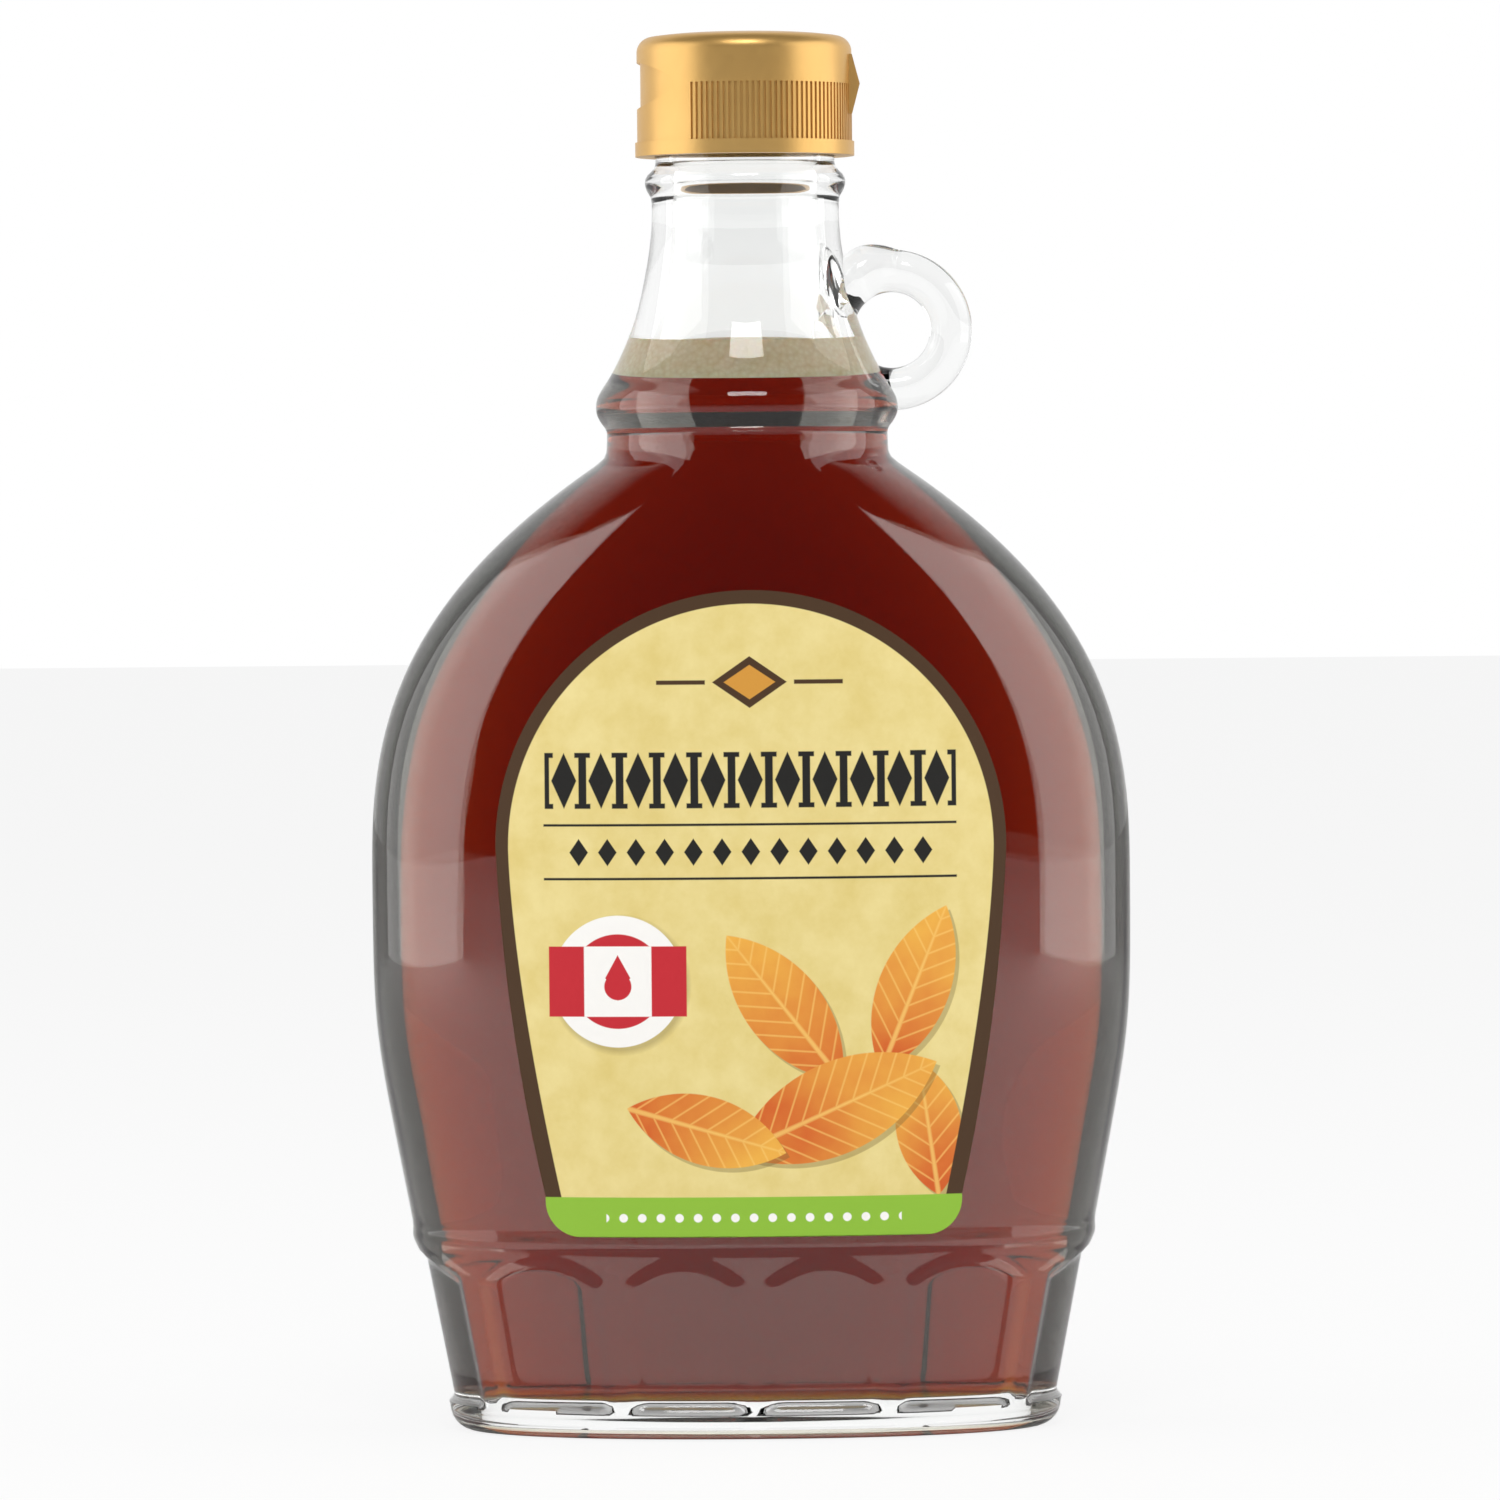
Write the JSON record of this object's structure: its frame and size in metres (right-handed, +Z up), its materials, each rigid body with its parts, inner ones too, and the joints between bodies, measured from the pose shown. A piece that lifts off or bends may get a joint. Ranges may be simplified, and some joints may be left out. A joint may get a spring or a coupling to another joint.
{
  "type": "maple syrup bottle",
  "caption": "Oval glass flask with a fluted foot, a ring handle at the neck and a shut flip-top cap, filled with dark syrup under a layer of foam, with an arched paper label.",
  "frame": {"origin": "middle of the flat base on the standing surface", "axes": "+Z up the bottle; the label looks along -Y; the ring handle stands out along +X"},
  "size_m": [0.1074, 0.047, 0.1973],
  "materials": {
    "glass": "clear, polished",
    "syrup": "clear dark liquid",
    "foam": "fine bubbles",
    "cap": "satin gold",
    "label": "printed paper"
  },
  "bodies": {
    "root": {"bottle_glass": "glass", "syrup": "syrup", "foam": "foam", "cap_base": "cap", "cap_lid": "cap", "label": "label"}
  },
  "joints": []
}
